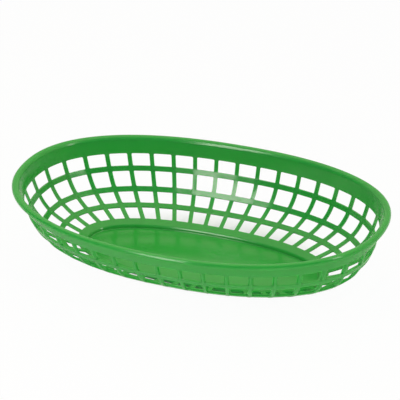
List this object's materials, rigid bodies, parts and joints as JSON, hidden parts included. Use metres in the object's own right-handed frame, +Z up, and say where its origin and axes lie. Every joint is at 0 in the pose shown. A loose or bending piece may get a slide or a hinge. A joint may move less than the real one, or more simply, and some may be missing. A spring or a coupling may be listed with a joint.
{
  "type": "fast food basket",
  "caption": "Shallow oval serving basket of glossy green plastic, with a rolled rim lip, an open lattice wall of ribs and hoops, and a solid flat floor.",
  "frame": {"origin": "middle of the underside, on the table", "axes": "+X along the length of the oval, +Y across it, +Z up"},
  "size_m": [0.238, 0.1404, 0.0487],
  "materials": {
    "green_plastic": "glossy moulded plastic"
  },
  "bodies": {
    "root": {"rim_lip": "green_plastic", "upper_band": "green_plastic", "hoop_upper": "green_plastic", "hoop_middle": "green_plastic", "hoop_lower": "green_plastic", "rib_01": "green_plastic", "rib_02": "green_plastic", "rib_03": "green_plastic", "rib_04": "green_plastic", "rib_05": "green_plastic", "rib_06": "green_plastic", "rib_07": "green_plastic", "rib_08": "green_plastic", "rib_09": "green_plastic", "rib_10": "green_plastic", "rib_11": "green_plastic", "rib_12": "green_plastic", "rib_13": "green_plastic", "rib_14": "green_plastic", "rib_15": "green_plastic", "rib_16": "green_plastic", "rib_17": "green_plastic", "rib_18": "green_plastic", "rib_19": "green_plastic", "rib_20": "green_plastic", "rib_21": "green_plastic", "rib_22": "green_plastic", "rib_23": "green_plastic", "rib_24": "green_plastic", "rib_25": "green_plastic", "rib_26": "green_plastic", "rib_27": "green_plastic", "rib_28": "green_plastic", "rib_29": "green_plastic", "rib_30": "green_plastic", "rib_31": "green_plastic", "rib_32": "green_plastic", "rib_33": "green_plastic", "rib_34": "green_plastic", "rib_35": "green_plastic", "rib_36": "green_plastic", "rib_37": "green_plastic", "rib_38": "green_plastic", "rib_39": "green_plastic", "rib_40": "green_plastic", "base_band": "green_plastic", "floor_plate": "green_plastic"}
  },
  "joints": []
}
